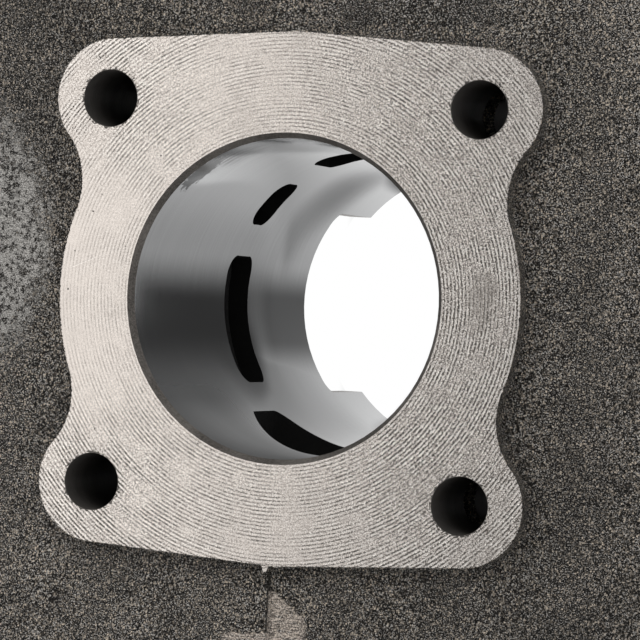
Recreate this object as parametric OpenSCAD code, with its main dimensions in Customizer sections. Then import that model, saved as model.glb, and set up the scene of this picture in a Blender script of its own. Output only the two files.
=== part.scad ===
// Cylinder of a small air-cooled two-stroke engine, cast in iron in one piece and then machined.
// The origin is on the bore axis at the base face, and +Z points to the head face.
// Port edges are given as depths below the head face, the way port timing is measured.
// The casting parts along the plane x = 0, so its outside slopes away from that plane.

/* [Bore and sleeve] */
// Diameter of the honed bore
bore_d = 50; // [48:0.5:51]
// Width of the chamfer round the mouth of the bore
chamfer_w = 0.8; // [0.4:0.1:1.2]
// Depth of that chamfer
chamfer_l = 1.2; // [0.4:0.1:1.6]
// Wall of the sleeve and of the skirt below the base face
sleeve_wall = 3; // [2.5:0.1:3.4]
// Height of the head face above the base face
barrel_h = 78; // [76:0.5:82]
// Length of the skirt below the base face
skirt_l = 24.8; // [22:0.2:30]
// Wall of the barrel above the transfer ducts
barrel_wall = 8.5; // [7:0.5:9]

/* [Head face] */
// Height of the head face above the top of the first fin
face_rise = 3; // [1.5:0.5:4]
// Metal between the bore and the bulged sides of the head face
face_side_wall = 12.8; // [12.5:0.1:14]
// Metal between the bore and the ends of the head face, at the parting plane
face_end_wall = 16.6; // [16:0.1:18]
// Metal round each stud hole in the head face
lobe_wall = 5; // [4.5:0.1:6]
// Radius of the hollow between a lobe and the bulged side
waist_r = 12; // [9:0.5:16]
// How far the cast outline of the face sits off the bore axis
cast_shift = 0.5; // [0:0.1:0.8]
// Place of the ridge that the mould's parting line left, off the bore axis
seam_x = -0.6; // [-2:0.1:2]
// Height of that ridge
seam_h = 0.9; // [0.5:0.1:1.5]
// Width of that ridge at its foot
seam_w = 1.8; // [1:0.1:2.5]

/* [Studs] */
// Distance between the stud holes, both ways
stud_pitch = 60.5; // [60:0.5:62]
// Diameter of the through holes for the long studs
stud_hole_d = 9; // [8.4:0.1:9.6]
// Metal round each stud hole below the second fin
column_wall = 4.2; // [3.5:0.1:5]
// Thickness of the web between each stud column and the barrel
web_t = 8; // [6:0.5:10]
// Height of the window that opens each stud hole to the second fin gap
window_l = 6.4; // [4:0.2:6.6]
// Width of that window
window_w = 7.6; // [5:0.2:8]

/* [Fins] */
// Number of fins
fin_count = 6; // [5:1:6]
// Distance from one fin to the next
fin_pitch = 10.5; // [10:0.1:10.8]
// Thickness of a fin at the parting plane
fin_t_mid = 4.4; // [3.8:0.1:4.8]
// Thickness of a fin at its sides
fin_t_side = 3; // [2.4:0.1:3.4]
// Width of the fins across X
fin_w = 124; // [118:1:130]
// Length of the fins across Y, at the parting plane
fin_l = 124; // [120:1:130]
// Radius of the fins' corners
fin_corner_r = 13; // [8:1:20]
// Draft angle of the cast edges, away from the parting plane
draft = 3.1; // [1:0.1:4]

/* [Transfer ports] */
// Depth from the head face to the top edge of the main ports
main_top = 42.5; // [41:0.5:45]
// Depth from the head face to the bottom edge of the main ports
main_floor = 54.1; // [52:0.1:57]
// Angle that a main port spans
main_sweep = 51; // [44:1:54]
// Angle from the X axis to the middle of a main port, towards the exhaust
main_turn = 9.1; // [6:0.1:11]
// Depth from the head face to the top edge of the side ports
side_top = 43.5; // [42:0.5:46]
// Depth from the head face to the bottom edge of the side ports
side_floor = 52.3; // [50:0.1:56]
// Angle that a side port spans
side_sweep = 21.5; // [17:0.5:22]
// Angle from the Y axis to the middle of a side port
side_turn = 49.4; // [48:0.1:51]
// Depth from the head face to the top edge of the rear port
rear_top = 40.6; // [39:0.1:43]
// Depth from the head face to the bottom edge of the rear port
rear_floor = 53.8; // [52:0.1:57]
// Angle that the rear port spans
rear_sweep = 49; // [40:1:50]
// Radius of the ports' corners
port_corner_r = 3; // [1:0.1:3.4]
// Depth of a transfer duct, from the sleeve outwards
duct_depth = 6.7; // [6:0.1:7.2]
// Wall outside a transfer duct
duct_wall = 3.2; // [2.6:0.1:3.6]
// Ledge between the skirt and the mouths of the ducts
duct_ledge = 0.5; // [0.3:0.1:1]

/* [Exhaust] */
// Depth from the head face to the top of the exhaust port
exhaust_top = 26.5; // [24:0.5:29]
// Depth from the head face to the bottom of the exhaust port
exhaust_floor = 50.6; // [48:0.1:52]
// Width of the exhaust port, measured straight across
exhaust_w = 33; // [28:0.5:33.5]
// Radius of the arch at the top of the exhaust port
exhaust_arch_r = 19; // [17.5:0.5:22]
// Radius of the lower corners of the exhaust port
exhaust_corner_r = 4.5; // [2:0.5:6]
// Diameter of the round exhaust outlet
outlet_d = 33; // [30:0.5:34]
// Length of the straight part of the outlet
outlet_l = 16; // [12:1:18]
// Distance from the bore axis to the exhaust flange face
exhaust_reach = 66; // [64:1:72]
// Depth from the head face to the middle of the outlet
outlet_depth = 38; // [37:0.5:39]
// Distance between the two tapped holes of the exhaust flange
exhaust_pitch = 54; // [52:1:60]
// Tapping diameter of those holes
tap_d = 6.8; // [5:0.1:7]
// Depth of those holes
tap_l = 14; // [9:0.5:16]
// Metal round the outlet at the flange
outlet_wall = 6; // [5:0.5:7]
// Metal round each tapped hole
ear_wall = 5.1; // [4:0.1:6]
// Thickness of the exhaust flange
exhaust_flange_t = 9; // [7:0.5:11]
// Step between the cast passage and the bored outlet
outlet_step = 0.6; // [0.3:0.1:1]
// Room between the exhaust flange and the fins beside it
spanner_room = 6; // [4:0.5:8]

/* [Base] */
// Side of the square base flange
base_w = 84; // [80:1:90]
// Thickness of the base flange
base_t = 10; // [8:0.5:12]
// Width of the slot in each side of the skirt
slot_w = 32; // [26:1:36]
// Height of the slot, from the end of the skirt
slot_l = 18.4; // [14:0.2:21]
// Radius of the slot's upper corners
slot_corner_r = 2; // [1:0.5:4]
// Chamfer round the outer end of the skirt
skirt_chamfer = 1; // [0.5:0.1:1.5]

/* [Hidden] */
$fn = 96;
// Small reach past a face, so that a cut opens cleanly
over = 1;
// Small overlap where an arc runs into a line or another arc
blend = 0.03;
// Small reach of the columns, webs and barrel into the second fin, one, two and three times
bite = 0.4;
// Rise of the barrel's shoulder for each millimetre that it narrows
shoulder_slope = 1.5;
// Sides of the circle that the exhaust passage blends into
loft_fn = 64;
bore_r = bore_d / 2;
// Cuts for the ports start this far from the bore axis, inside the bore
cut_r = bore_r * 0.6;
// The seam line of the bore's wall runs down the web between the rear port and a side port
seam_turn = 90 - (side_turn - side_sweep / 2 + rear_sweep / 2) / 2;
skirt_r = bore_r + sleeve_wall;
duct_in_r = skirt_r + duct_ledge;
duct_out_r = duct_in_r + duct_depth;
core_r = duct_out_r + duct_wall;
barrel_r = bore_r + barrel_wall;
bulge_r = bore_r + face_side_wall;
face_end = bore_r + face_end_wall;
stud_x = stud_pitch / 2;
stud_r = stud_hole_d / 2;
lobe_r = stud_r + lobe_wall;
column_r = stud_r + column_wall;
// Middle heights of the fins, counted down from the first
fin_z = [for (i = [0:fin_count - 1]) barrel_h - face_rise - fin_t_mid / 2 - i * fin_pitch];
// The solid lobed block under the head face ends inside the second fin
block_z = fin_z[1];
gap_z = (fin_z[1] + fin_z[2]) / 2;
// Top of the wide part of the barrel, and where its shoulder has run into the narrow part
shoulder_z = barrel_h - rear_top + duct_ledge + duct_wall;
shoulder_top_z = shoulder_z + (core_r - barrel_r) * shoulder_slope;
outlet_z = barrel_h - outlet_depth;
outlet_r = outlet_d / 2;
hub_r = outlet_r + outlet_wall;
ear_r = tap_d / 2 + ear_wall;
ear_x = exhaust_pitch / 2;
exhaust_h = exhaust_floor - exhaust_top;
// Each transfer duct: direction, span, top depth and floor depth of its port
PORTS = [
    [180 + main_turn, main_sweep, main_top, main_floor],
    [-main_turn, main_sweep, main_top, main_floor],
    [90 + side_turn, side_sweep, side_top, side_floor],
    [90 - side_turn, side_sweep, side_top, side_floor],
    [90, rear_sweep, rear_top, rear_floor]
];

// Unit vector from a to b
function toward(a, b) = (b - a) / norm(b - a);

// Half the angle at corner b between the sides to a and c
function half_angle(a, b, c) = acos(toward(b, a) * toward(b, c)) / 2;

// The two points where an arc of radius r touches the sides of corner b
function arc_ends(a, b, c, r) =
    let (run = r / tan(half_angle(a, b, c))) [b + toward(b, a) * run, b + toward(b, c) * run];

// Centre of the arc of radius r in corner b
function arc_centre(a, b, c, r) =
    let (mid = toward(b, a) + toward(b, c)) b + mid / norm(mid) * r / sin(half_angle(a, b, c));

// Point where a line from p touches the circle of radius r round c, on the given side
function touch_point(p, c, r, side) =
    let (away = p - c, turn = atan2(away.y, away.x) + side * acos(r / norm(away)))
    c + r * [cos(turn), sin(turn)];

// Centre of an arc that touches a circle of radius r0 round the origin and one of radius r1 round c
function waist_centre(r0, c, r1, r) =
    let (d = norm(c), along = ((r0 + r) ^ 2 - (r1 + r) ^ 2 + d ^ 2) / (2 * d),
         across = sqrt((r0 + r) ^ 2 - along ^ 2), u = c / d)
    u * along + [u.y, -u.x] * across;

// Convex outline with its own radius at each corner
module rounded(points, radii) {
    n = len(points);
    polygon([for (i = [0:n - 1])
        each arc_ends(points[(i + n - 1) % n], points[i], points[(i + 1) % n], radii[i])]);
    for (i = [0:n - 1])
        translate(arc_centre(points[(i + n - 1) % n], points[i], points[(i + 1) % n], radii[i]))
            circle(radii[i] + blend);
}

// Rectangle from its lower left corner, with one radius
module rounded_box(low, size, r) {
    rounded([low, low + [size.x, 0], low + size, low + [0, size.y]], [r, r, r, r]);
}

// Copies its children into all four quarters
module four_ways() {
    for (mx = [0, 1], my = [0, 1])
        mirror([mx, 0, 0]) mirror([0, my, 0]) children();
}

// Outline of the head face: four lobes, bulged sides with waists, and ends that slope to a seam
module face_outline() {
    stud = [stud_x, stud_x];
    tip = touch_point([0, face_end], stud, lobe_r, -1);
    waist = waist_centre(bulge_r, stud, lobe_r, waist_r);
    circle(bulge_r + blend);
    four_ways() {
        polygon([[-over, -over], [-over, face_end + over * tan(draft)], [0, face_end], tip, stud,
                 [stud_x, -over]]);
        translate(stud) circle(lobe_r + blend);
        difference() {
            polygon([[0, 0], waist, stud]);
            translate(waist) circle(waist_r + blend);
        }
    }
}

// Solid block under the head face, with the ridge of the parting line at its exhaust end
module face_block() {
    translate([0, 0, block_z]) linear_extrude(barrel_h - block_z) {
        translate([cast_shift, 0]) face_outline();
        translate([seam_x, -face_end])
            polygon([[-seam_w / 2, over], [-seam_w / 8, -seam_h], [seam_w / 8, -seam_h], [seam_w / 2, over]]);
    }
}

// Outline of all fins, seen along the bore
module fin_outline() {
    side = fin_w / 2;
    end = fin_l / 2;
    side_y = end - side * tan(draft);
    rounded([[side, side_y], [0, end], [-side, side_y], [-side, -side_y], [0, -end], [side, -side_y]],
            [fin_corner_r, over, fin_corner_r, fin_corner_r, over, fin_corner_r]);
}

// Section of all fins, seen along Y: thick at the parting plane and thin at the sides
module fin_section() {
    side = fin_w / 2 + over;
    for (z = fin_z)
        polygon([[-side, z - fin_t_side / 2], [0, z - fin_t_mid / 2], [side, z - fin_t_side / 2],
                 [side, z + fin_t_side / 2], [0, z + fin_t_mid / 2], [-side, z + fin_t_side / 2]]);
}

// Cooling fins, cut back round the exhaust flange so that a spanner reaches its nuts
module fins() {
    room_x = ear_x + ear_r + spanner_room;
    room_z = hub_r + spanner_room;
    room_y = exhaust_reach - exhaust_flange_t - spanner_room;
    difference() {
        intersection() {
            linear_extrude(barrel_h) fin_outline();
            translate([0, fin_l, 0]) rotate([90, 0, 0]) linear_extrude(2 * fin_l) fin_section();
        }
        translate([-room_x, -fin_l, outlet_z - room_z]) cube([2 * room_x, fin_l - room_y, 2 * room_z]);
    }
}

// Ridge of the parting line on the first fin, from the face block to the fin's edge
module fin_seam() {
    top = fin_z[0] + fin_t_mid / 2;
    translate([seam_x, -face_end + over, 0]) rotate([90, 0, 0])
        linear_extrude(fin_l / 2 - face_end)
            polygon([[-seam_w / 2, top - over], [seam_w / 2, top - over], [0, top + seam_h / 2]]);
}

// Barrel: wide round the transfer ducts, with a shoulder up to the narrow part
module barrel() {
    foot = base_t / 2;
    rotate_extrude()
        polygon([[0, foot], [core_r, foot], [core_r, shoulder_z], [barrel_r, shoulder_top_z],
                 [barrel_r, block_z + 3 * bite], [0, block_z + 3 * bite]]);
}

// Columns round the stud holes, each with a web to the barrel
module stud_columns() {
    foot = base_t / 2;
    four_ways() {
        translate([stud_x, stud_x, foot]) cylinder(h = block_z - foot + bite, r = column_r);
        rotate(45) translate([0, -web_t / 2, foot])
            cube([stud_x * sqrt(2), web_t, block_z - foot + 2 * bite]);
    }
}

// Square base flange, its corners concentric with the studs
module base_flange() {
    corner = base_w / 2 - stud_x;
    linear_extrude(base_t) rounded_box([-base_w / 2, -base_w / 2], [base_w, base_w], corner);
}

// Skirt that reaches down into the crankcase
module skirt() {
    translate([0, 0, -skirt_l]) cylinder(h = skirt_l + base_t / 2, r = skirt_r);
}

// Stub and two-eared flange for the exhaust pipe
module exhaust_stub() {
    slope = (hub_r - ear_r) / ear_x;
    flat = sqrt(1 - slope ^ 2);
    translate([0, 0, outlet_z]) rotate([90, 0, 0]) {
        cylinder(h = exhaust_reach - exhaust_flange_t / 2, r1 = hub_r + outlet_wall, r2 = hub_r - blend);
        translate([0, 0, exhaust_reach - exhaust_flange_t]) linear_extrude(exhaust_flange_t)
            rounded([[hub_r / slope, 0], [0, hub_r / flat], [-hub_r / slope, 0], [0, -hub_r / flat]],
                    [ear_r, hub_r, ear_r, hub_r]);
    }
}

// Shape of the exhaust port, seen from the exhaust side, measured from the outlet's middle
module exhaust_port_outline() {
    arch_z = outlet_depth - exhaust_top - exhaust_arch_r;
    floor_z = outlet_depth - exhaust_floor;
    intersection() {
        translate([0, arch_z]) circle(exhaust_arch_r);
        rounded_box([-exhaust_w / 2, floor_z], [exhaust_w, exhaust_h + exhaust_arch_r], exhaust_corner_r);
    }
}

// Exhaust passage: the port's shape blends into the round outlet
module exhaust_passage() {
    port_end = skirt_r + duct_ledge;
    loft_end = exhaust_reach - outlet_l;
    translate([0, 0, outlet_z]) rotate([90, 0, 0]) {
        hull() {
            translate([0, 0, cut_r]) linear_extrude(port_end - cut_r) exhaust_port_outline();
            translate([0, 0, loft_end]) cylinder(h = over, r = outlet_r - outlet_step, $fn = loft_fn);
        }
        translate([0, 0, loft_end]) cylinder(h = outlet_l + over, r = outlet_r);
    }
}

// Tapped holes beside the exhaust outlet
module exhaust_taps() {
    for (s = [-1, 1])
        translate([s * ear_x, -exhaust_reach + tap_l, outlet_z]) rotate([90, 0, 0])
            cylinder(h = tap_l + over, r = tap_d / 2);
}

// One transfer duct outside the sleeve, with its port through the sleeve
module transfer(port) {
    sweep = port[1];
    top_z = barrel_h - port[2];
    floor_z = barrel_h - port[3];
    half_w = bore_r * sin(sweep / 2);
    roof = top_z + duct_ledge / 2;
    rotate(port[0]) {
        rotate(-sweep / 2) rotate_extrude(angle = sweep)
            polygon([[duct_in_r, -over], [duct_out_r, -over], [duct_out_r, roof - duct_depth],
                     [duct_in_r, roof]]);
        translate([cut_r, 0, 0]) rotate([90, 0, 90])
            linear_extrude(duct_in_r + duct_ledge - cut_r)
                rounded_box([-half_w, floor_z], [2 * half_w, top_z - floor_z], port_corner_r);
    }
}

// Through holes for the studs, each open to the second fin gap on its inner side
module stud_holes() {
    four_ways() {
        translate([stud_x, stud_x, -over]) cylinder(h = barrel_h + 2 * over, r = stud_r);
        translate([stud_x - column_r, stud_x - window_w / 2, gap_z - window_l / 2])
            cube([column_r, window_w, window_l]);
    }
}

// Bore with its chamfer at the head face
module bore() {
    translate([0, 0, -skirt_l - over]) rotate(seam_turn)
        cylinder(h = barrel_h + skirt_l + 2 * over, r = bore_r);
    slope = chamfer_w / chamfer_l;
    translate([0, 0, barrel_h - chamfer_l - over])
        cylinder(h = chamfer_l + 2 * over, r1 = bore_r - over * slope, r2 = bore_r + chamfer_w + over * slope);
}

// Slots through both sides of the skirt, which let the charge into the transfer ducts
module skirt_slots() {
    reach = skirt_r + over;
    translate([-reach, 0, 0]) rotate([90, 0, 90]) linear_extrude(2 * reach)
        rounded_box([-slot_w / 2, -skirt_l - slot_l], [slot_w, 2 * slot_l], slot_corner_r);
}

// Ring cut off the outer end of the skirt as a chamfer
module skirt_edge() {
    rotate_extrude()
        polygon([[skirt_r - skirt_chamfer - over, -skirt_l - over], [skirt_r + over, -skirt_l - over],
                 [skirt_r + over, -skirt_l + skirt_chamfer + over]]);
}

// The finished cylinder, one casting
module cylinder_casting() {
    color("dimgray") difference() {
        union() {
            barrel();
            face_block();
            fins();
            fin_seam();
            stud_columns();
            base_flange();
            skirt();
            exhaust_stub();
        }
        bore();
        stud_holes();
        for (port = PORTS) transfer(port);
        exhaust_passage();
        exhaust_taps();
        skirt_slots();
        skirt_edge();
    }
}

cylinder_casting();  // cylinder
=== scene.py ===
"""Looks of a one-piece cast-iron cylinder of a small air-cooled two-stroke engine.

The cylinder stands on the end of its skirt. Its head face is turned, its bore is honed, and the rest
is a rough black casting. Lengths are in millimetres until they go into a mesh.
"""

import logging
import math
from dataclasses import dataclass, field
from enum import Enum
from typing import Any

import bmesh
import bpy
import numpy as np
from mathutils import Matrix


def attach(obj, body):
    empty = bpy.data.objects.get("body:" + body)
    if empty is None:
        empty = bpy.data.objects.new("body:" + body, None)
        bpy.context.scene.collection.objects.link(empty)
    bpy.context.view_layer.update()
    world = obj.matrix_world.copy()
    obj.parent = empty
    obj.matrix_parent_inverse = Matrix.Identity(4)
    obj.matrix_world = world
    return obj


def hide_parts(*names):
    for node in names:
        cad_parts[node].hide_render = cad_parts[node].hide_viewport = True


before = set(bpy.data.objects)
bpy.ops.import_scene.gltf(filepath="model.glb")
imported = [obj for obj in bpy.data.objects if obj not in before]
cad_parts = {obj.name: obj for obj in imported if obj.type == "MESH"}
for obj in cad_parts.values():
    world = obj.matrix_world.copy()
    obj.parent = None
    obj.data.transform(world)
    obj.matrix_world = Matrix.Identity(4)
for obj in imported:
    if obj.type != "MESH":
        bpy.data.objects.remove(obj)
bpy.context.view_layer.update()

Socket = bpy.types.NodeSocket
Triple = tuple[float, float, float]
Pair = tuple[float, float]

MM = 0.001
ARC_POINTS = 90
log = logging.getLogger("cylinder")


# Sizes of the casting, in millimetres


@dataclass(frozen=True)
class CylinderSizes:
    """Sizes of the casting that masks and added pieces follow, in millimetres."""

    bore_r: float = 25.0
    chamfer_w: float = 0.8
    chamfer_l: float = 1.2
    head_z: float = 78.0
    skirt_end_z: float = -24.8
    skirt_r: float = 28.0
    stud_x: float = 30.25
    stud_r: float = 4.5
    face_end: float = 41.6
    bulge_r: float = 37.8
    lobe_r: float = 9.5
    waist_r: float = 12.0
    cast_shift: float = 0.5
    fin_mid_z: float = 72.8
    fin_t_mid: float = 4.4
    fin_t_side: float = 3.0
    fin_half: float = 62.0
    exhaust_reach: float = 66.0
    outlet_z: float = 40.0
    outlet_r: float = 16.5
    outlet_l: float = 16.0
    tap_x: float = 27.0
    tap_r: float = 3.4
    tap_l: float = 14.0

    def first_fin_top(self, x: np.ndarray) -> np.ndarray:
        """Height of the first fin's top, which falls away from the parting plane.

        Args:
            x: Places across the parting plane.

        Returns:
            The height at each place.
        """
        fall = (self.fin_t_mid - self.fin_t_side) / 2 / self.fin_half
        return self.fin_mid_z + self.fin_t_mid / 2 - fall * np.abs(x)


SIZES = CylinderSizes()


# Shader helpers


class Num:
    """A number that varies over a surface, with Python's operators as Math nodes."""

    def __init__(self, web: "Web", socket: Socket) -> None:
        """Wraps an output socket.

        Args:
            web: The node tree that the socket belongs to.
            socket: The output socket.
        """
        self.web = web
        self.socket = socket

    def math(self, operation: str, *others: Any) -> "Num":
        """Adds a Math node with this number first.

        Args:
            operation: The Math node's operation.
            others: The further operands, numbers or sockets.

        Returns:
            The result as a new number.
        """
        inputs = dict(enumerate((self, *others)))
        return Num(self.web, self.web.add("ShaderNodeMath", {"operation": operation}, inputs))

    def flipped(self, operation: str, other: Any) -> "Num":
        """Adds a Math node with this number second."""
        settings = {"operation": operation}
        return Num(self.web, self.web.add("ShaderNodeMath", settings, {0: other, 1: self}))

    def __add__(self, other: Any) -> "Num":
        """Sum of two numbers."""
        return self.math("ADD", other)

    __radd__ = __add__

    def __sub__(self, other: Any) -> "Num":
        """Difference of two numbers."""
        return self.math("SUBTRACT", other)

    def __rsub__(self, other: Any) -> "Num":
        """Difference with this number second."""
        return self.flipped("SUBTRACT", other)

    def __mul__(self, other: Any) -> "Num":
        """Product of two numbers."""
        return self.math("MULTIPLY", other)

    __rmul__ = __mul__

    def __truediv__(self, other: Any) -> "Num":
        """Quotient of two numbers."""
        return self.math("DIVIDE", other)

    def __rtruediv__(self, other: Any) -> "Num":
        """Quotient with this number second."""
        return self.flipped("DIVIDE", other)

    def __pow__(self, other: Any) -> "Num":
        """Power of this number."""
        return self.math("POWER", other)

    def sin(self) -> "Num":
        """Sine of this number in radians."""
        return self.math("SINE")

    def abs(self) -> "Num":
        """This number without its sign."""
        return self.math("ABSOLUTE")

    def least(self, other: Any) -> "Num":
        """The smaller of two numbers."""
        return self.math("MINIMUM", other)

    def most(self, other: Any) -> "Num":
        """The larger of two numbers."""
        return self.math("MAXIMUM", other)

    def ramp(self, low: float, high: float) -> "Num":
        """Smooth step of this number: 0 at low and 1 at high, also where low is the larger.

        Args:
            low: The value that gives 0.
            high: The value that gives 1.

        Returns:
            The step as a new number.
        """
        settings = {"interpolation_type": "SMOOTHSTEP"}
        start, end, first, last = (low, high, 0.0, 1.0) if low < high else (high, low, 1.0, 0.0)
        inputs = {"Value": self, "From Min": start, "From Max": end, "To Min": first, "To Max": last}
        return Num(self.web, self.web.add("ShaderNodeMapRange", settings, inputs))


class Web:
    """The node tree of one material or of the world."""

    def __init__(self, owner: bpy.types.Material | bpy.types.World) -> None:
        """Empties the node tree of its owner.

        Args:
            owner: The material or the world.
        """
        self.owner = owner
        owner.use_nodes = True
        self.tree = owner.node_tree
        self.tree.nodes.clear()

    def add(self, kind: str, settings: dict[str, Any] | None = None,
            inputs: dict[int | str, Any] | None = None, output: int | str = 0) -> Socket:
        """Adds a node: its settings first, then the values and links of its sockets.

        Args:
            kind: The node's type.
            settings: Its properties, such as an operation.
            inputs: A value, a socket or a number for each input, by name or place.
            output: The output to return, by name or place.

        Returns:
            The output socket.
        """
        node = self.tree.nodes.new(kind)
        for key, value in (settings or {}).items():
            setattr(node, key, value)
        for key, value in (inputs or {}).items():
            source = value.socket if isinstance(value, Num) else value
            if isinstance(source, Socket):
                self.tree.links.new(source, node.inputs[key])
            else:
                node.inputs[key].default_value = source
        return node.outputs[output]

    def place(self) -> Socket:
        """The point on the surface in millimetres, from Object coordinates."""
        point = self.add("ShaderNodeTexCoord", output="Object")
        return self.add("ShaderNodeVectorMath", {"operation": "SCALE"}, {0: point, "Scale": 1 / MM})

    def axes(self, point: Socket) -> tuple[Num, Num, Num]:
        """The three coordinates of a point as numbers."""
        node = self.add("ShaderNodeSeparateXYZ", inputs={0: point}).node
        return tuple(Num(self, node.outputs[i]) for i in range(3))

    def vector(self, x: Any, y: Any, z: Any) -> Socket:
        """A vector from three numbers."""
        return self.add("ShaderNodeCombineXYZ", inputs={0: x, 1: y, 2: z})

    def moved(self, point: Socket, by: Triple, scale: Triple = (1, 1, 1)) -> Socket:
        """A point moved and scaled by a Mapping node."""
        return self.add("ShaderNodeMapping", inputs={"Vector": point, "Location": by, "Scale": scale})

    def noise(self, point: Socket, scale: float, detail: float = 2,
              roughness: float = 0.5) -> Num:
        """Smooth noise between 0 and 1.

        Args:
            point: The coordinates.
            scale: Blobs per millimetre.
            detail: Octaves.
            roughness: Share of each finer octave.

        Returns:
            The noise.
        """
        inputs = {"Vector": point, "Scale": scale, "Detail": detail, "Roughness": roughness}
        return Num(self, self.add("ShaderNodeTexNoise", inputs=inputs))

    def cells(self, point: Socket, scale: float, output: str = "Distance") -> Num:
        """Cell pattern: the distance to the nearest seed, or the cell's own colour.

        Args:
            point: The coordinates.
            scale: Cells per millimetre.
            output: The Voronoi node's output.

        Returns:
            The pattern.
        """
        inputs = {"Vector": point, "Scale": scale}
        return Num(self, self.add("ShaderNodeTexVoronoi", inputs=inputs, output=output))

    def blend(self, share: Any, first: Any, second: Any) -> Socket:
        """Mixes two colours.

        Args:
            share: How much of the second colour shows.
            first: The first colour.
            second: The second colour.

        Returns:
            The mixed colour.
        """
        inputs = {0: share, 6: rgba(first), 7: rgba(second)}
        return self.add("ShaderNodeMix", {"data_type": "RGBA"}, inputs, 2)

    def bump(self, height: Any, size: float, normal: Any = None) -> Socket:
        """Relief of a height from 0 to 1 over a size in millimetres.

        Args:
            height: The height.
            size: What the height spans, in millimetres.
            normal: A normal that it adds to.

        Returns:
            The new normal.
        """
        inputs = {"Height": height, "Distance": size * MM, "Strength": 1.0}
        if normal is not None:
            inputs["Normal"] = normal
        return self.add("ShaderNodeBump", inputs=inputs)

    def surface(self, **sockets: Any) -> bpy.types.Material:
        """Finishes the material with a Principled shader.

        Args:
            sockets: Values and links by the socket's name with _ for spaces.

        Returns:
            The material.
        """
        inputs = {key.replace("_", " "): value for key, value in sockets.items()}
        return self.finish(self.add("ShaderNodeBsdfPrincipled", inputs=inputs))

    def finish(self, shader: Socket,
               output: str = "ShaderNodeOutputMaterial") -> bpy.types.ID:
        """Links a shader to the output of the tree.

        Args:
            shader: The shader.
            output: The output node's type.

        Returns:
            The material or the world.
        """
        self.tree.links.new(shader, self.tree.nodes.new(output).inputs["Surface"])
        return self.owner


def rgba(colour: Any) -> Any:
    """A colour of three numbers with an alpha of 1, or the socket it was given."""
    return (*colour, 1) if isinstance(colour, tuple) and len(colour) == 3 else colour


def oval(u: Num, v: Num, middle: Pair, half: Pair) -> Num:
    """Squared distance from a middle, each way as a share of a half width, so that 1 is an oval's edge.

    Args:
        u: The first coordinate.
        v: The second coordinate.
        middle: The oval's middle.
        half: Its half widths.

    Returns:
        The squared distance.
    """
    return ((u - middle[0]) / half[0]) ** 2.0 + ((v - middle[1]) / half[1]) ** 2.0


# Finishes: places are in millimetres, and scales count blobs or cells per millimetre


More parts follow.
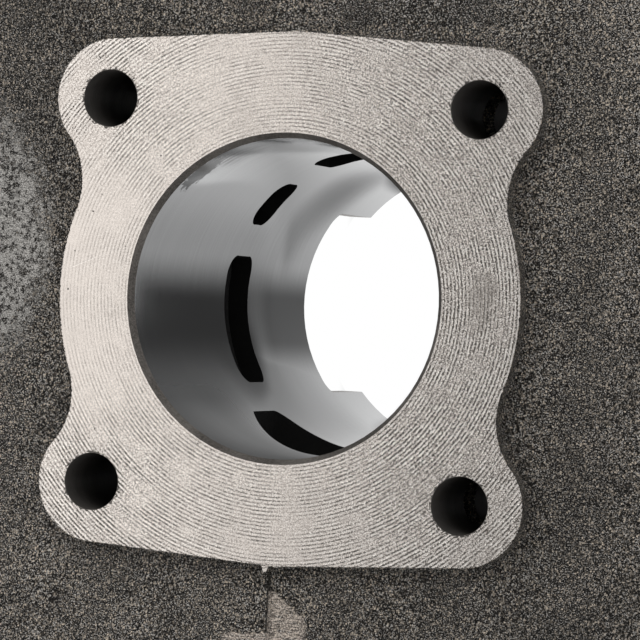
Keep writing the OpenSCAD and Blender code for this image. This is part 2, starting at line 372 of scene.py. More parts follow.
@dataclass(frozen=True)
class CastFinish:
    """Rough black sand casting with painted glints on its grains, and the marks that it shows on the first
    fin.
    """

    dark: Triple = (0.013, 0.012, 0.011)
    light: Triple = (0.95, 0.91, 0.86)
    glint: Triple = (0.96, 0.83, 0.68)
    sheen: Triple = (0.98, 0.95, 0.9)
    fettled: Triple = (0.9, 0.78, 0.68)
    grain_scale: float = 4.7
    glint_scale: float = 3.8
    top_of_fin: Pair = (73.6, 74.0)
    sheen_patch_at: Pair = (-51.5, 7.5)
    sheen_patch_half: Pair = (10.5, 19.0)
    seam_at: float = -0.8
    relief: float = 0.75
    rounding: float = 0.5

    def material(self) -> bpy.types.Material:
        """Builds the material: grains over slow blotches, painted glints, then the fin's marks, painted
        sheen and shadow.

        Returns:
            The material.
        """
        web = Web(bpy.data.materials.new("black_casting"))
        point = web.place()
        x, y, z = web.axes(point)
        on_fin = z.ramp(*self.top_of_fin)
        sheen_patch = self.sheen_patch(web, point, x, y) * on_fin
        ground = self.ground(web, point, x, y) * on_fin
        wavy = self.wavy(web, point, x, y) * on_fin
        grain = web.noise(point, self.grain_scale)
        level = grain * 0.9 + web.noise(web.moved(point, (5, 0, 0)), 0.8, 3, 0.6) * 0.1
        blotch = web.noise(point, 0.09, 3)
        saddle = (x * y * 0.00009).least(0.22).most(-0.25) + 1
        tone = level.ramp(0.45, 0.68) ** 2.2 * (0.47 + blotch) * saddle
        colour = web.blend(tone.least(1.0), self.dark, self.light)
        # Glints: bright spots painted into the base colour, painted highlights on the grains.
        core = web.cells(point, self.glint_scale).ramp(0.75, 0.45)
        sparkle = web.cells(point, self.glint_scale, "Color") ** 5.0 * core
        glints = sparkle * (0.85 + 1.7 * blotch) * saddle * (1 - 0.8 * sheen_patch) * (1 - 0.6 * wavy)
        colour = web.blend(glints, colour, self.glint)
        # The smoother patch's lighter tone is a painted sheen, a painted reflection of the lamps.
        holes = web.noise(point, 1.35, 3, 0.7).ramp(0.4, 0.5)
        shiny = sheen_patch * holes * (0.3 + 0.7 * grain.ramp(0.35, 0.65))
        colour = web.blend(shiny, colour, self.sheen)
        scratches = web.noise(web.moved(point, (0, 0, 0), (0.35, 2.4, 1)), 1.6, 3, 0.7).ramp(0.36, 0.6)
        bare = ground * scratches * (0.3 + 0.7 * grain.ramp(0.4, 0.6))
        colour = web.blend(bare, colour, self.fettled)
        # Dark line beside the seam's ridge: painted shadow.
        seam = (x - self.seam_at).abs().ramp(0.5, 0.1) * y.ramp(-41.4, -42.4) * y.ramp(-52.6, -51.4)
        colour = web.blend(seam * on_fin * (1 - ground) * 0.85, colour, self.dark)
        worms = web.noise(web.moved(point, (7, 0, 0), (1.5, 0.9, 1)), 0.85, 1)
        height = level * 1.3 + wavy * worms * 1.6 + sheen_patch * holes * 0.5
        soft = web.add("ShaderNodeBevel", {"samples": 4}, {"Radius": self.rounding * MM})
        normal = web.bump(height * (1 - 0.5 * ground), self.relief, soft)
        rough = 0.5 - 0.12 * sheen_patch - 0.08 * wavy - 0.12 * glints
        return web.surface(Base_Color=colour, Roughness=rough, Normal=normal, Specular_IOR_Level=0.15)

    def sheen_patch(self, web: Web, point: Socket, x: Num, y: Num) -> Num:
        """Smoother patch of the fin beside the left side of the face, with a painted sheen: an oval with a
        ragged edge.

        Args:
            web: The node tree.
            point: The point in millimetres.
            x: Its first coordinate.
            y: Its second coordinate.

        Returns:
            1 on the patch and 0 off it.
        """
        edge = (web.noise(point, 0.45, 4, 0.7) - 0.5) * 2.2
        return (oval(x, y, self.sheen_patch_at, self.sheen_patch_half) + edge).ramp(1.35, 0.4)

    @staticmethod
    def ground(web: Web, point: Socket, x: Num, y: Num) -> Num:
        """Patch of the fin's edge where the seam was ground off: three ragged edges multiplied.

        Args:
            web: The node tree.
            point: The point in millimetres.
            x: Its first coordinate.
            y: Its second coordinate.

        Returns:
            1 on the patch and 0 off it.
        """
        edge = (web.noise(point, 1.1, 3, 0.7) - 0.5) * 2.4
        right = (x + edge) - (-1.2 * (y + 45.4)).least(5.5)
        below = (y + 45.6 + edge * 0.3).ramp(0.25, -0.25)
        left = x + 0.75 + (y + 52.5 + edge * 0.7).ramp(0.4, -0.4) * 7.5 + edge * 0.15
        return right.ramp(0.3, -0.3) * below * left.ramp(-0.2, 0.2)

    @staticmethod
    def wavy(web: Web, point: Socket, x: Num, y: Num) -> Num:
        """Stretch of the fin beyond the rear end of the face, with coarser, wavy relief.

        Args:
            web: The node tree.
            point: The point in millimetres.
            x: Its first coordinate.
            y: Its second coordinate.

        Returns:
            1 on the stretch and 0 off it.
        """
        edge = (web.noise(point, 0.22, 2) - 0.5) * 8
        return (x + edge).ramp(2.0, 8.0) * (x + edge).ramp(38.0, 30.0) * (y + edge * 0.2).ramp(42.6, 44.4)


@dataclass(frozen=True)
class TurnedFinish:
    """Light warm grey iron with turning marks round the bore axis, as on the head face."""

    colour: Triple = (0.8, 0.735, 0.68)
    shade: Triple = (0.07, 0.061, 0.054)
    stain: Triple = (0.27, 0.245, 0.22)
    pit: Triple = (0.06, 0.055, 0.05)
    bright: Triple = (1.0, 0.96, 0.91)
    pitch: float = 0.58
    smudge_at: Pair = (32.2, 1.0)
    smudge_half: Pair = (3.0, 5.5)
    relief: float = 0.03
    roughness: float = 0.2

    def material(self) -> bpy.types.Material:
        """Builds the turned face's material.

        The grooves are a sine of the radius. Noise drawn out round the axis breaks them into lines and
        dashes. Their dark lines are painted shade and their crests and light specks painted highlights, and
        the lit contrast says how much of that painted contrast shows at a place.

        Returns:
            The material.
        """
        web = Web(bpy.data.materials.new("turned_iron"))
        point = web.place()
        x, y, _ = web.axes(point)
        radius = (x * x + y * y) ** 0.5
        line = web.noise(self.ring(web, x, y, radius, 9, 3.2), 1.0, 2, 0.6)
        dash = web.noise(self.ring(web, x, y, radius, 34, 5.5), 1.0, 2, 0.6)
        wobble = web.noise(self.ring(web, x, y, radius, 7, 0.7), 1.0) * 1.4
        strength = web.noise(self.ring(web, x, y, radius, 6, 0.3), 1.0).ramp(0.36, 0.58) * 0.8 + 0.2
        wave = (radius * (2 * math.pi / self.pitch) + wobble).sin()
        cut = wave.ramp(-0.1, 0.95) * (0.4 + 0.9 * dash.ramp(0.35, 0.62)) * strength
        crest = wave.ramp(-0.2, -0.9) * dash.ramp(0.62, 0.4)
        speck = web.noise(point, 4.4, 2, 0.8)
        lit_contrast = self.lit_mark_contrast(x, y)
        # Painted shade: the grooves' dark lines, over darker specks of grain.
        tone = cut * 0.85 + speck.ramp(0.47, 0.63) * 0.7 + line.ramp(0.45, 0.7) * 0.2
        colour = web.blend((tone * lit_contrast * 1.08).least(1.0), self.colour, self.shade)
        # Painted highlights: the crests beside the grooves and the light specks.
        shine = crest * 0.65 * strength + speck.ramp(0.45, 0.34)
        colour = web.blend((shine * lit_contrast * 1.5).least(1.0), colour, self.bright)
        colour = web.blend(web.noise(point, 0.09, 3).ramp(0.5, 0.72) * 0.12, colour, self.stain)
        smudge = oval(x, y, self.smudge_at, self.smudge_half) + (web.noise(point, 0.8, 3) - 0.5) * 1.8
        colour = web.blend(smudge.ramp(1.0, 0.1) * 0.42, colour, self.stain)
        pits = web.cells(point, 0.42).ramp(0.075, 0.045) * web.noise(point, 0.3, 1).ramp(0.5, 0.56)
        burr = self.burr(web, point, x, y)
        colour = web.blend((pits * 0.85).most(burr * 0.9), colour, self.pit)
        scratch = self.scratch(web, point, x, y)
        colour = web.blend(scratch * 0.4, colour, self.bright)
        height = (cut * 0.6 + line * 0.4 + dash * 0.4) * lit_contrast + speck * 0.5 - pits * 1.0 - scratch * 0.4
        normal = web.bump(height, self.relief)
        rough = self.roughness + (line - 0.5) * 0.12 + pits * 0.3
        return web.surface(Base_Color=colour, Roughness=rough, Metallic=0.9, Normal=normal)

    @staticmethod
    def lit_mark_contrast(x: Num, y: Num) -> Num:
        """How much of the marks' contrast and relief shows: painted light and shade for how the lamps bring
        them out.

        Beside the bore it rises across the face from left to right. Towards the ends it is low in the
        middle and rises to the left, to the right and towards the exhaust side.

        Args:
            x: The first coordinate.
            y: The second coordinate.

        Returns:
            The share, which can pass 1.
        """
        beside_bore = 0.18 + 0.97 * x.ramp(-40.0, 20.0)
        at_end = 0.44 + 0.12 * y.ramp(0.0, -30.0) + 0.32 * x.ramp(-10.0, -28.0)
        at_end = at_end + 0.6 * (x + 0.15 * y).ramp(0.0, 24.0)
        return beside_bore + y.abs().ramp(12.0, 30.0) * (at_end - beside_bore)

    @staticmethod
    def burr(web: Web, point: Socket, x: Num, y: Num) -> Num:
        """Dark broken rim round each stud hole: the distance from the hole's wall, less a ragged width.

        Args:
            web: The node tree.
            point: The point in millimetres.
            x: Its first coordinate.
            y: Its second coordinate.

        Returns:
            1 on the rim and 0 off it.
        """
        off = ((x.abs() - SIZES.stud_x) ** 2.0 + (y.abs() - SIZES.stud_x) ** 2.0) ** 0.5 - SIZES.stud_r
        return (off - web.noise(point, 2.2).ramp(0.45, 0.75) * 0.55).ramp(0.1, 0.0)

    @staticmethod
    def ring(web: Web, x: Num, y: Num, radius: Num, along: float, across: float) -> Socket:
        """Coordinates for noise that is drawn out round the bore axis.

        Args:
            web: The node tree.
            x: The first coordinate.
            y: The second coordinate.
            radius: The distance from the axis.
            along: Blobs per radian.
            across: Blobs per millimetre of radius.

        Returns:
            The coordinates.
        """
        return web.vector(x / radius * along, y / radius * along, radius * across)

    @staticmethod
    def scratch(web: Web, point: Socket, x: Num, y: Num) -> Num:
        """Faint radial scratch on the exhaust side and a short slanting one on the left.

        Args:
            web: The node tree.
            point: The point in millimetres.
            x: Its first coordinate.
            y: Its second coordinate.

        Returns:
            1 along each scratch and 0 elsewhere.
        """
        wave = (web.noise(point, 1.2, 2) - 0.5) * 0.25
        down = (x - 5.4 + wave).abs().ramp(0.09, 0.03) * y.ramp(-25.4, -26.0) * y.ramp(-29.0, -28.2)
        side = (y - 4.4 - 0.42 * (x + 33) + wave).abs().ramp(0.1, 0.03)
        return down + side * x.ramp(-35.8, -35.2) * x.ramp(-31.0, -31.6) * 0.7


@dataclass(frozen=True)
class PlainFinish:
    """A surface of one tone with fine grain: a chamfer, a drilled wall, a joint face or a duct.

    The spread is how far the tone strays each way, and the rim is how far it pales towards the head face,
    painted light that falls in at the mouth of a hole.
    """

    name: str
    colour: Triple
    roughness: float
    metallic: float
    relief: float
    spread: float
    scale: float
    stretch: Triple = (1.0, 1.0, 1.0)
    rim: float = 0.0
    rim_depth: float = 14.0
    mouth_light_colour: Triple = (0.62, 0.58, 0.54)

    def material(self) -> bpy.types.Material:
        """Builds the material: fine and slow noise between a darker and a lighter tone.

        Returns:
            The material.
        """
        web = Web(bpy.data.materials.new(self.name))
        point = web.moved(web.place(), (0, 0, 0), self.stretch)
        fine = web.noise(point, self.scale, 3, 0.65)
        cloud = web.noise(point, 0.13, 3)
        tone = fine.ramp(0.25, 0.75) * 0.6 + cloud.ramp(0.3, 0.7) * 0.4
        low = tuple(c * (1 - self.spread) for c in self.colour)
        high = tuple(min(c * (1 + self.spread), 1.0) for c in self.colour)
        colour = web.blend(tone, low, high)
        # Paler towards the head face: painted light falling in at the mouth of the hole.
        if self.rim:
            height = web.axes(web.place())[2]
            near = height.ramp(SIZES.head_z - self.rim_depth, SIZES.head_z) * (0.5 + fine)
            colour = web.blend((near * self.rim).least(1.0), colour, self.mouth_light_colour)
        normal = web.bump(fine, self.relief)
        rough = self.roughness + (fine - 0.5) * 0.2
        return web.surface(Base_Color=colour, Roughness=rough, Metallic=self.metallic, Normal=normal)


@dataclass(frozen=True)
class HonedFinish:
    """Smooth grey bore wall with fine hone lines round the axis, painted dark reflections and darker
    patches.
    """

    colour: Triple = (0.6, 0.605, 0.61)
    dark_tone: Triple = (0.024, 0.025, 0.026)
    stain_at: Pair = (-15.5, 74.0)
    stain_half: Pair = (3.4, 3.6)
    relief: float = 0.0022
    roughness: float = 0.09

    def material(self) -> bpy.types.Material:
        """Builds the bore wall's material: hone lines are noise drawn out round the wall.

        Returns:
            The material.
        """
        web = Web(bpy.data.materials.new("honed_bore"))
        point = web.place()
        x, y, z = web.axes(point)
        lines = web.noise(web.moved(point, (0, 0, 0), (0.06, 0.06, 5.0)), 1.0, 4, 0.7)
        crossed = web.noise(web.moved(point, (3, 0, 0), (0.12, 0.12, 2.0)), 1.0, 3, 0.6)
        film = web.noise(point, 0.07, 3)
        low = tuple(c * 0.8 for c in self.colour)
        colour = web.blend(lines.ramp(0.3, 0.7) * 0.6 + film * 0.4, low, self.colour)
        # Darker and rougher on the exhaust side: a painted dark reflection, dulled.
        dim_reflection_zone = y.ramp(-9.0, -17.0) * z.ramp(26.0, 58.0) * 0.52
        dark = self.dark_reflections(x, y, z).most(dim_reflection_zone).most(self.rear_darkening(web, point, y, z))
        colour = web.blend(dark, colour, self.dark_tone)
        stain = oval(x, z, self.stain_at, self.stain_half) + (web.noise(point, 0.9, 4, 0.7) - 0.5) * 3.2
        colour = web.blend(stain.ramp(1.0, 0.7) * y.ramp(10.0, 14.0) * 0.95, colour, self.dark_tone)
        normal = web.bump(lines * 0.6 + crossed * 0.4, self.relief)
        rough = self.roughness + (film - 0.5) * 0.04 + dim_reflection_zone * 0.45
        return web.surface(Base_Color=colour, Roughness=rough, Metallic=1.0, Normal=normal)

    @staticmethod
    def dark_reflections(x: Num, y: Num, z: Num) -> Num:
        """Painted dark reflections: a dark strip low on the left of the wall, and a dull field on the
        exhaust side.

        Args:
            x: The first coordinate.
            y: The second coordinate.
            z: The height.

        Returns:
            How dark the painted reflection is.
        """
        strip = y.ramp(6.5, 0.0) * y.ramp(-14.0, -7.0) * z.ramp(28.0, 12.0) * x.ramp(5.0, -5.0)
        dull = y.ramp(-8.0, -12.0) * z.ramp(-8.0, 22.0) * z.ramp(50.0, 30.0)
        return (strip * 0.97).most(dull * 0.52)

    @staticmethod
    def rear_darkening(web: Web, point: Socket, y: Num, z: Num) -> Num:
        """Darker rear of the wall: streaks under the chamfer, and an even field at the very rear.

        Args:
            web: The node tree.
            point: The point in millimetres.
            y: Its second coordinate.
            z: Its height.

        Returns:
            How dark it is.
        """
        streak = web.noise(web.moved(point, (0, 5, 0), (0.1, 0.1, 1.6)), 1.0, 3, 0.7).ramp(0.35, 0.65)
        upper = y.ramp(20.0, 21.6) * z.ramp(63.0, 69.0) * (0.25 + 0.6 * streak)
        return upper.most(y.ramp(23.2, 24.4) * z.ramp(42.0, 54.0) * 0.45)


class Finish(Enum):
    """The finishes of the casting's surfaces, in the order of the piece's material slots."""

    CAST = CastFinish()
    TURNED = TurnedFinish()
    CHAMFER = PlainFinish("chamfer", (0.31, 0.285, 0.262), roughness=0.42, metallic=0.8, relief=0.03,
                          spread=0.66, scale=3.4)
    HONED = HonedFinish()
    # Drilled wall: its dark tone is painted shade inside the stud holes, and its rim painted light at their
    # mouths.
    DRILLED = PlainFinish("drilled_iron", (0.07, 0.066, 0.062), roughness=0.45, metallic=0.5, relief=0.06,
                          spread=0.6, scale=1.6, stretch=(0.5, 0.5, 2.5), rim=0.22)
    MACHINED = PlainFinish("machined_iron", (0.42, 0.4, 0.38), roughness=0.4, metallic=0.85, relief=0.012,
                           spread=0.22, scale=2.2, stretch=(1.0, 1.0, 2.5))
    # Near black: painted shade deep in the ports and ducts.
    PORT = PlainFinish("port_wall", (0.006, 0.006, 0.0055), roughness=0.95, metallic=0.0, relief=0.2,
                       spread=0.5, scale=0.9)


# Shapes


@dataclass
class FaceOutline:
    """Outline of the head face: four lobes, bulged sides with waists, and ends that slope to the seam."""

    sizes: CylinderSizes = SIZES
    step: float = 0.22

    def quarter(self) -> np.ndarray:
        """Points of the first quarter, from the X axis to the Y axis.

        A bulge arc runs into a hollow waist arc, that into the lobe's arc round the stud, and a straight
        line touches the lobe and ends on the parting plane.

        Returns:
            The points, with the bore axis at the origin.
        """
        s = self.sizes
        stud = np.array([s.stud_x, s.stud_x])
        d = np.linalg.norm(stud)
        along = ((s.bulge_r + s.waist_r) ** 2 - (s.lobe_r + s.waist_r) ** 2 + d * d) / (2 * d)
        across = math.sqrt((s.bulge_r + s.waist_r) ** 2 - along ** 2)
        u = stud / d
        waist = u * along + np.array([u[1], -u[0]]) * across
        away = np.array([0, s.face_end]) - stud
        tip = math.atan2(away[1], away[0]) - math.acos(s.lobe_r / np.linalg.norm(away))
        start = math.atan2(*(waist - stud)[::-1])
        inward = math.atan2(*(-waist)[::-1]) % (2 * math.pi)
        outward = math.atan2(*(stud - waist)[::-1]) % (2 * math.pi)
        bulge = self.arc((0, 0), s.bulge_r, 0, math.atan2(waist[1], waist[0]))
        hollow = self.arc(waist, s.waist_r, inward, outward)
        lobe = self.arc(stud, s.lobe_r, start, tip)
        return np.vstack([bulge, hollow, lobe, [[0, s.face_end]]])

    @staticmethod
    def arc(centre: Any, radius: float, start: float, end: float) -> np.ndarray:
        """Points of an arc, centre plus radius times the direction of each angle.

        Args:
            centre: The centre.
            radius: The radius.
            start: The first angle, in radians.
            end: The last angle, in radians.

        Returns:
            The points.
        """
        turn = np.linspace(start, end, ARC_POINTS)
        return np.asarray(centre) + radius * np.stack([np.cos(turn), np.sin(turn)], axis=-1)

    def points(self) -> tuple[np.ndarray, np.ndarray]:
        """Evenly spaced points of the whole outline: the quarter mirrored, moved and spaced by its length.

        Returns:
            The points, anticlockwise, and their outward normals.
        """
        quarter = self.quarter()
        left = quarter[::-1] * (-1, 1)
        loop = np.vstack([quarter, left[1:], (-quarter)[1:], (quarter[::-1] * (1, -1))[1:-1]])
        loop = loop + (self.sizes.cast_shift, 0)
        closed = np.vstack([loop, loop[:1]])
        run = np.concatenate([[0], np.cumsum(np.linalg.norm(np.diff(closed, axis=0), axis=1))])
        at = np.arange(0, run[-1] - self.step / 2, self.step)
        even = np.stack([np.interp(at, run, closed[:, i]) for i in range(2)], axis=-1)
        tangent = np.roll(even, -1, axis=0) - np.roll(even, 1, axis=0)
        tangent /= np.linalg.norm(tangent, axis=1, keepdims=True)
        return even, np.stack([tangent[:, 1], -tangent[:, 0]], axis=-1)


def ripple(count: int, waves: int, seed: int) -> np.ndarray:
    """Random curve that closes on itself: a sum of sines whose frequencies run up to a limit.

    Args:
        count: How many samples.
        waves: The highest frequency, in waves per turn.
        seed: Seed of the random phases.

    Returns:
        The samples, with a spread of about 1.
    """
    rng = np.random.default_rng(seed)
    spectrum = np.zeros(count // 2 + 1, complex)
    top = min(waves, count // 2)
    spectrum[1:top] = np.exp(2j * np.pi * rng.random(top - 1))
    curve = np.fft.irfft(spectrum, count)
    return curve / curve.std()


def closed_tube(rings: np.ndarray) -> tuple[np.ndarray, np.ndarray]:
    """Vertices and four-sided faces of a tube that closes along its path and round its section.

    Args:
        rings: Points by place on the path, by place on the section and by axis.

    Returns:
        The vertices and the faces.
    """
    along, around = rings.shape[:2]
    i, j = np.meshgrid(np.arange(along), np.arange(around), indexing="ij")
    k, m = (i + 1) % along, (j + 1) % around
    faces = np.stack([i * around + j, k * around + j, k * around + m, i * around + m], axis=-1)
    return rings.reshape(-1, 3), faces.reshape(-1, 4)


def make_piece(name: str, points: np.ndarray, faces: np.ndarray, material: bpy.types.Material,
               smooth: bool = True) -> bpy.types.Object:
    """Makes an object from points in millimetres.

    Args:
        name: The piece's name.
        points: Its vertices, in millimetres.
        faces: Its faces, as rows of vertex numbers.
        material: Its material.
        smooth: Whether it is shaded smooth.

    Returns:
        The object.
    """
    mesh = bpy.data.meshes.new(name)
    mesh.from_pydata((points * MM).tolist(), [], faces.tolist())
    mesh.polygons.foreach_set("use_smooth", [smooth] * len(mesh.polygons))
    mesh.materials.append(material)
    mesh.update()
    piece = bpy.data.objects.new(name, mesh)
    bpy.context.scene.collection.objects.link(piece)
    return piece


@dataclass
class FootFillet:
    """Small cast fillet where the wall of the head face meets the first fin."""

    sizes: CylinderSizes = SIZES
    radius: float = 0.8
    uneven: float = 0.16
    waves: int = 110
    seed: int = 3
    step: float = 0.5
    arc_points: int = 7
    sunk: float = 0.3

    def build(self, material: bpy.types.Material) -> bpy.types.Object:
        """Carries a hollow quarter circle along the outline, its radius rising and falling a little.

        Args:
            material: The casting's material.

        Returns:
            The piece.
        """
        path, out = FaceOutline(self.sizes, self.step).points()
        radius = self.radius * (1 + self.uneven * ripple(len(path), self.waves, self.seed))[:, None]
        turn = np.radians(np.linspace(180, 270, self.arc_points))[None, :]
        sunk = np.full_like(radius, -self.sunk)
        away = np.hstack([radius * (1 + np.cos(turn)), sunk, sunk])
        up = np.hstack([radius * (1 + np.sin(turn)), sunk, radius])
        flat = path[:, None] + out[:, None] * away[..., None]
        height = self.sizes.first_fin_top(flat[..., 0]) + up
        points, faces = closed_tube(np.concatenate([flat, height[..., None]], axis=-1)[:, ::-1])
        return make_piece("foot_fillet", points, faces, material)


@dataclass
class EdgeChips:
    """Ragged rim of the head face, where the cutter broke small chips off the cast skin."""

    sizes: CylinderSizes = SIZES
    step: float = 0.16
    margin: float = 0.03
    bite: float = 0.07
    deepest: float = 0.32
    rise: float = 0.012
    drop_outside: float = 0.5
    drop_inside: float = 0.1

    def build(self, material: bpy.types.Material) -> bpy.types.Object:
        """Carries a thin angle section along the outline; its inner edge wanders as the chips do.

        The edge lies inside the outline by a margin and the size of a quick random curve, and deeper where
        a slower curve and a very slow one are both high.

        Args:
            material: The casting's material.

        Returns:
            The piece.
        """
        path, out = FaceOutline(self.sizes, self.step).points()
        count = len(path)
        slow = np.maximum(ripple(count, waves=420, seed=8), 0) ** 2
        deep = slow * np.maximum(ripple(count, waves=40, seed=9), 0)
        quick = np.abs(ripple(count, waves=1100, seed=5))
        inner = -(self.margin + self.bite * (quick + 0.25 * deep))
        inner = np.maximum(inner, -self.deepest)[:, None]
        outer = np.full((count, 1), self.margin)
        away = np.hstack([outer, outer, inner, inner])
        height = self.sizes.head_z + np.array([-self.drop_outside, self.rise, self.rise, -self.drop_inside])
        flat = path[:, None] + out[:, None] * away[..., None]
        high = np.broadcast_to(height, away.shape)
        points, faces = closed_tube(np.concatenate([flat, high[..., None]], axis=-1))
        return make_piece("edge_chips", points, faces, material, smooth=False)


@dataclass
class Casting:
    """The whole cylinder as modelled, with its surfaces told apart by finish and shaded as true curves.

    The last fields say how near to a surface a face's corners lie, and how far the ducts reach.
    """

    sizes: CylinderSizes = SIZES
    node: str = "cylinder"
    slots: list[Finish] = field(default_factory=lambda: list(Finish))
    sharp_deg: float = 28.0
    near_bore: float = 0.08
    near_hole: float = 0.06
    past_end: float = 0.05
    in_plane: float = 0.01
    duct_out_r: float = 35.4
    duct_top_z: float = 52.0
    passage_half: float = 17.3

    def build(self) -> bpy.types.Object:
        """Copies the node's mesh, merges it, and gives each face its finish and true normals.

        Returns:
            The piece.
        """
        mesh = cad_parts[self.node].data.copy()
        mesh.name = "casting"
        merged = bmesh.new()
        merged.from_mesh(mesh)
        bmesh.ops.remove_doubles(merged, verts=merged.verts, dist=1e-6)
        merged.to_mesh(mesh)
        merged.free()
        mesh.attributes.remove(mesh.attributes["custom_normal"])
        mesh.materials.clear()
        for finish in self.slots:
            mesh.materials.append(finish.value.material())
        self.sort_faces(mesh)
        piece = bpy.data.objects.new("casting", mesh)
        bpy.context.scene.collection.objects.link(piece)
        return piece

    def sort_faces(self, mesh: bpy.types.Mesh) -> None:
        """Gives each face the slot of its finish, and each corner the normal of its true surface.

        Args:
            mesh: The merged mesh of triangles.
        """
        count = len(mesh.polygons)
        mesh.polygons.foreach_set("use_smooth", [True] * count)
        mesh.set_sharp_from_angle(angle=math.radians(self.sharp_deg))
        place = np.empty(len(mesh.vertices) * 3)
        mesh.vertices.foreach_get("co", place)
        corner = np.empty(len(mesh.loops), int)
        mesh.loops.foreach_get("vertex_index", corner)
        tri = place.reshape(-1, 3)[corner.reshape(count, 3)] / MM
        facing = np.empty(count * 3)
        mesh.polygons.foreach_get("normal", facing)
        facing = facing.reshape(count, 3)
        slot = np.full(count, self.slots.index(Finish.CAST))
        surfaces = self.surfaces(tri, facing[:, 2])
        for finish, faces in surfaces.items():
            slot[faces] = self.slots.index(finish)
        mesh.polygons.foreach_set("material_index", slot)
        self.true_normals(mesh, tri, surfaces[Finish.HONED], facing)

    def surfaces(self, tri: np.ndarray, up: np.ndarray) -> dict[Finish, np.ndarray]:
        """Tells the faces apart: a face belongs to a surface where all three corners lie on it.

        Args:
            tri: The corners of each face, in millimetres.
            up: The vertical part of each face's normal.

        Returns:
            Which faces have each finish. Where two finishes claim a face, the later one has it.
        """
        s = self.sizes
        x, y, z = tri[..., 0], tri[..., 1], tri[..., 2]
        r = np.hypot(x, y)
        from_stud = np.hypot(np.abs(x) - s.stud_x, np.abs(y) - s.stud_x)
        from_tap = np.hypot(np.abs(x) - s.tap_x, z - s.outlet_z)
        from_outlet = np.hypot(x, z - s.outlet_z)
        inward = y + s.exhaust_reach
        steep = np.abs(up) < 0.1

        def whole(test: np.ndarray) -> np.ndarray:
            """Whether a test holds at all three corners."""
            return test.all(axis=1)

        bore = whole(np.abs(r - s.bore_r) < self.near_bore) & steep
        bore &= whole(z < s.head_z - s.chamfer_l + self.past_end)
        chamfer = whole(z > s.head_z - s.chamfer_l - self.past_end) & (up > 0.1) & (up < 0.95)
        chamfer &= whole(r < s.bore_r + s.chamfer_w + 0.1)
        turned = whole(z > s.head_z - self.in_plane) & (up > 0.95)
        drilled = whole(np.abs(from_stud - s.stud_r) < self.near_hole) & steep
        tapped = whole((from_tap < s.tap_r + self.near_hole) & (inward < s.tap_l + self.past_end))
        outlet = whole(np.abs(from_outlet - s.outlet_r) < self.near_bore)
        outlet &= whole(inward < s.outlet_l + self.past_end)
        exhaust_face = whole(inward < self.in_plane)
        base_face = whole(np.abs(z) < self.in_plane) & (up < -0.9) & whole(r > s.skirt_r - 0.1)
        skirt = whole((z < self.in_plane) & (r < s.skirt_r + self.past_end)) & ~bore
        behind = whole(r > s.bore_r - 0.1) & ~bore
        duct = behind & whole((r < self.duct_out_r) & (z < self.duct_top_z) & (z > -self.in_plane))
        duct &= ~base_face & ~skirt
        passage = behind & whole((np.abs(x) < self.passage_half) & (y < -s.bore_r * 0.6))
        passage &= whole((np.abs(z - s.outlet_z) < self.passage_half) & (inward > s.outlet_l - 0.8))
        return {Finish.PORT: duct | passage, Finish.MACHINED: skirt | base_face | exhaust_face | outlet,
                Finish.DRILLED: drilled | tapped, Finish.HONED: bore, Finish.TURNED: turned,
                Finish.CHAMFER: chamfer}

    @staticmethod
    def true_normals(mesh: bpy.types.Mesh, tri: np.ndarray, bore: np.ndarray, facing: np.ndarray) -> None:
        """Sets the corners' normals: towards the axis in the bore, and the face's own where it lies level.

        Args:
            mesh: The mesh.
            tri: The corners of each face, in millimetres.
            bore: Which faces are the bore's wall.
            facing: The normal of each face.
        """
        normals = np.empty(len(mesh.loops) * 3)
        mesh.corner_normals.foreach_get("vector", normals)
        normals = normals.reshape(-1, 3, 3)
        inward = -tri[bore]
        inward[..., 2] = 0
        normals[bore] = inward / np.linalg.norm(inward, axis=-1, keepdims=True)
        level = np.abs(facing[:, 2]) > 0.99999
        normals[level] = facing[level][:, None]
        mesh.normals_split_custom_set(normals.reshape(-1, 3).tolist())


# Studio


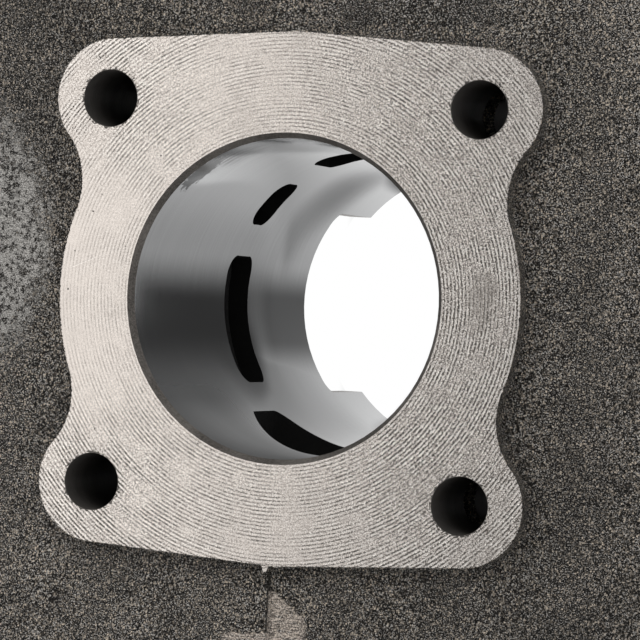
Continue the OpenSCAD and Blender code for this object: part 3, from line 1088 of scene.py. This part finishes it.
@dataclass
class Studio:
    """Pale floor, soft lamps and the camera at the photograph's angle.

    The turn is the camera's solved rotation from the object's axes to its own. The sky is the strength of
    the light from all round, and the focus is where the bore's wall gathers the rays that it mirrors.
    """

    sizes: CylinderSizes = SIZES
    eye: Triple = (0.18422, -0.00182, 0.60954)
    turn: tuple[Triple, ...] = (
        (0.947068, 0.050772, -0.316994), (-0.048817, 0.998708, 0.014112), (0.317301, 0.002110, 0.948323))
    lens: float = 204.083
    sky: float = 0.42
    floor_span: float = 3.0
    floor_gap: float = 0.02
    floor_tone: float = 0.82
    focus_x: float = -12.5

    def build(self) -> None:
        """Builds the camera, the lamps, the surroundings and the floor."""
        bpy.context.scene.view_settings.view_transform = "Standard"
        self.camera()
        self.softbox("key", (-0.785, 0.035, 0.5), (1.24, 0.44), 0.69, (1.0, 0.98, 0.96))
        self.softbox("fill", (-0.3, 1.25, 0.8), (2.0, 1.9), 1.0, (1.0, 0.99, 0.98))
        self.surroundings()
        self.floor()

    def camera(self) -> None:
        """Sets the camera; its rotation is the inverse of the solved one."""
        data = bpy.data.cameras.new("camera")
        data.lens, data.sensor_width = self.lens, 36.0
        data.clip_start, data.clip_end = 0.01, 20.0
        camera = bpy.data.objects.new("camera", data)
        camera.matrix_world = Matrix.Translation(self.eye) @ Matrix(self.turn).transposed().to_4x4()
        bpy.context.scene.collection.objects.link(camera)
        bpy.context.scene.camera = camera

    def softbox(self, name: str, place: Triple, size: Pair, radiance: float, colour: Triple) -> None:
        """Adds a level, rectangular soft lamp that shines down.

        Args:
            name: The lamp's name.
            place: Its middle, in metres from the middle of the head face.
            size: Its width and length, in metres.
            radiance: How bright it looks, where 1 is white.
            colour: Its colour.
        """
        data = bpy.data.lights.new(name, "AREA")
        data.shape, data.size, data.size_y, data.color = "RECTANGLE", *size, colour
        data.energy = radiance * math.pi * size[0] * size[1]
        lamp = bpy.data.objects.new(name, data)
        lamp.matrix_world = Matrix.Translation((place[0], place[1], place[2] + self.sizes.head_z * MM))
        bpy.context.scene.collection.objects.link(lamp)

    def surroundings(self) -> None:
        """Even pale light from all round, and white behind the object."""
        world = bpy.data.worlds.new("surroundings")
        bpy.context.scene.world = world
        web = Web(world)
        camera = Num(web, web.add("ShaderNodeLightPath", output="Is Camera Ray"))
        inputs = {"Color": (1, 1, 1, 1), "Strength": self.sky + (1 - self.sky) * camera}
        web.finish(web.add("ShaderNodeBackground", inputs=inputs), "ShaderNodeOutputWorld")

    def floor(self) -> None:
        """Lays a pale floor under the skirt.

        To the camera it is half white all over, and white where it shows through the bore and the left
        slot. To mirrored rays it glows under the casting in a shaped pattern: painted light, which the
        honed wall mirrors as painted reflections.
        """
        material = bpy.data.materials.new("pale_floor")
        web = Web(material)
        x, y, _ = web.axes(web.place())
        radius = (x * x + y * y) ** 0.5
        inside = radius.ramp(28.2, 27.4)
        slot = x.ramp(-20.0, -24.0) * x.ramp(-37.0, -34.8) * y.abs().ramp(18.0, 16.6)
        ray = web.add("ShaderNodeLightPath").node.outputs
        camera, glossy = Num(web, ray["Is Camera Ray"]), Num(web, ray["Is Glossy Ray"])
        share = camera * (0.5 + 0.5 * inside.most(slot)) + glossy * radius.ramp(37.0, 34.0)
        strength = camera + glossy * self.mirrored(x, y)
        lit = web.add("ShaderNodeBsdfDiffuse", inputs={"Color": rgba((self.floor_tone,) * 3)})
        white = web.add("ShaderNodeEmission", inputs={"Color": (1, 1, 1, 1), "Strength": strength})
        web.finish(web.add("ShaderNodeMixShader", inputs={0: share, 1: lit, 2: white}))
        half = self.floor_span / 2 / MM
        z = self.sizes.skirt_end_z - self.floor_gap
        corners = np.array([[-half, -half, z], [half, -half, z], [half, half, z], [-half, half, z]])
        make_piece("floor", corners, np.array([[0, 1, 2, 3]]), material, smooth=False)

    def mirrored(self, x: Num, y: Num) -> Num:
        """Glow of the floor in the rays that the bore's wall mirrors: painted light for the bore's
        reflections.

        Before the curved rim on which the wall gathers its rays, the glow follows the direction from the
        focus. Beyond the rim it is even. At the right of the skirt it is full.

        Args:
            x: The first coordinate.
            y: The second coordinate.

        Returns:
            The strength of the glow.
        """
        # A shaped glow, painted light that the bore shows as painted reflections.
        turn = y.math("ARCTAN2", x - self.focus_x) * math.degrees(1)
        fan = 0.045 + turn.ramp(4.0, -30.0) * 0.38 + turn.ramp(-35.0, -100.0) * 0.12
        fan = fan + turn.ramp(25.0, 95.0) * 0.16
        rim = (-16.7 + 0.05 * (y.abs() - 9.0) ** 2.0).least(-13.4)
        beyond = (x - rim).ramp(0.6, -1.6).most(x.ramp(-5.5, -13.5) * y.abs().ramp(2.2, 0.5))
        glow = fan * (1 - beyond) + (0.47 + 0.02 * y.abs()) * beyond
        return glow.most(x.ramp(15.0, 18.0))


# Building


def main() -> None:
    """Builds the studio and the cylinder's pieces, and reports each."""
    logging.basicConfig(level=logging.INFO, format="%(name)s: %(message)s")
    Studio().build()
    log.info("studio: floor, lamps and camera")
    casting = Casting().build()
    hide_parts("cylinder")
    skin = casting.data.materials[list(Finish).index(Finish.CAST)]
    pieces = [casting, FootFillet().build(skin), EdgeChips().build(skin)]
    for piece in pieces:
        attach(piece, "root")
        log.info("%s: %d faces", piece.name, len(piece.data.polygons))


if __name__ == "__main__":
    main()
